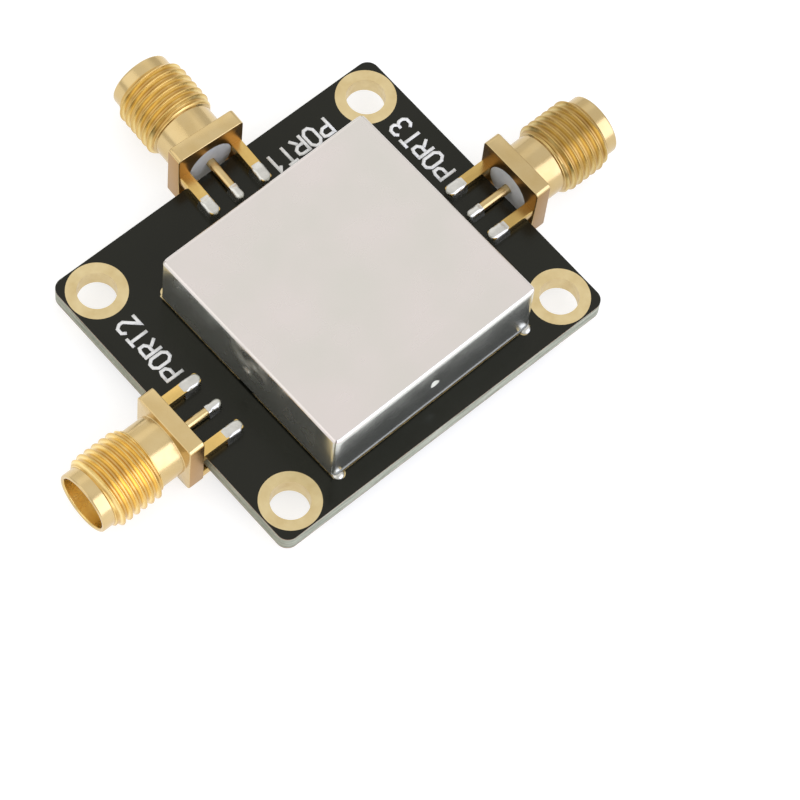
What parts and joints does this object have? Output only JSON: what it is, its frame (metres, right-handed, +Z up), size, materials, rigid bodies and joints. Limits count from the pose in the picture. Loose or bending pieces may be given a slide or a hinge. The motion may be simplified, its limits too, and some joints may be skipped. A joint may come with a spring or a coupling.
{
  "type": "double balanced mixer module",
  "caption": "Small radio-frequency mixer module: black circuit board with gold threaded coaxial edge jacks, a folded silver shield can and plated mounting holes.",
  "frame": {"origin": "centre of the four mounting holes, on the underside of the board", "axes": "+X from the oscillator jack towards the output jack, +Y towards the input jack, +Z up out of the board's component side"},
  "size_m": [0.053, 0.0386, 0.0088],
  "materials": {
    "laminate": "glass-epoxy laminate, cut edge",
    "copper": "copper foil",
    "solder_mask": "black solder mask, glossy",
    "pad_gold": "immersion gold over nickel, satin",
    "jack_gold": "gold-plated brass, turned, semi-gloss",
    "fluoropolymer": "white fluoropolymer, waxy",
    "solder": "tin solder, bright, slightly uneven",
    "tinned_sheet": "tinned sheet, satin",
    "moulding": "black moulding compound",
    "ferrite": "sintered ferrite",
    "enamelled_wire": "enamelled copper wire"
  },
  "bodies": {
    "root": {"board_core": "laminate", "top_copper": "copper", "bottom_copper": "copper", "top_mask": "solder_mask", "bottom_mask": "solder_mask", "top_pads": "pad_gold", "bottom_pads": "pad_gold", "hole_liners": "pad_gold", "rf_jack_body": "jack_gold", "rf_jack_insulator": "fluoropolymer", "rf_jack_contact": "jack_gold", "rf_jack_solder": "solder", "lo_jack_body": "jack_gold", "lo_jack_insulator": "fluoropolymer", "lo_jack_contact": "jack_gold", "lo_jack_solder": "solder", "if_jack_body": "jack_gold", "if_jack_insulator": "fluoropolymer", "if_jack_contact": "jack_gold", "if_jack_solder": "solder", "shield_frame": "tinned_sheet", "shield_cover": "tinned_sheet", "shield_solder": "solder", "diode_quad": "moulding", "diode_quad_leads": "solder", "rf_balun_core": "ferrite", "rf_balun_winding": "enamelled_wire", "lo_balun_core": "ferrite", "lo_balun_winding": "enamelled_wire", "inner_solder": "solder"}
  },
  "joints": []
}
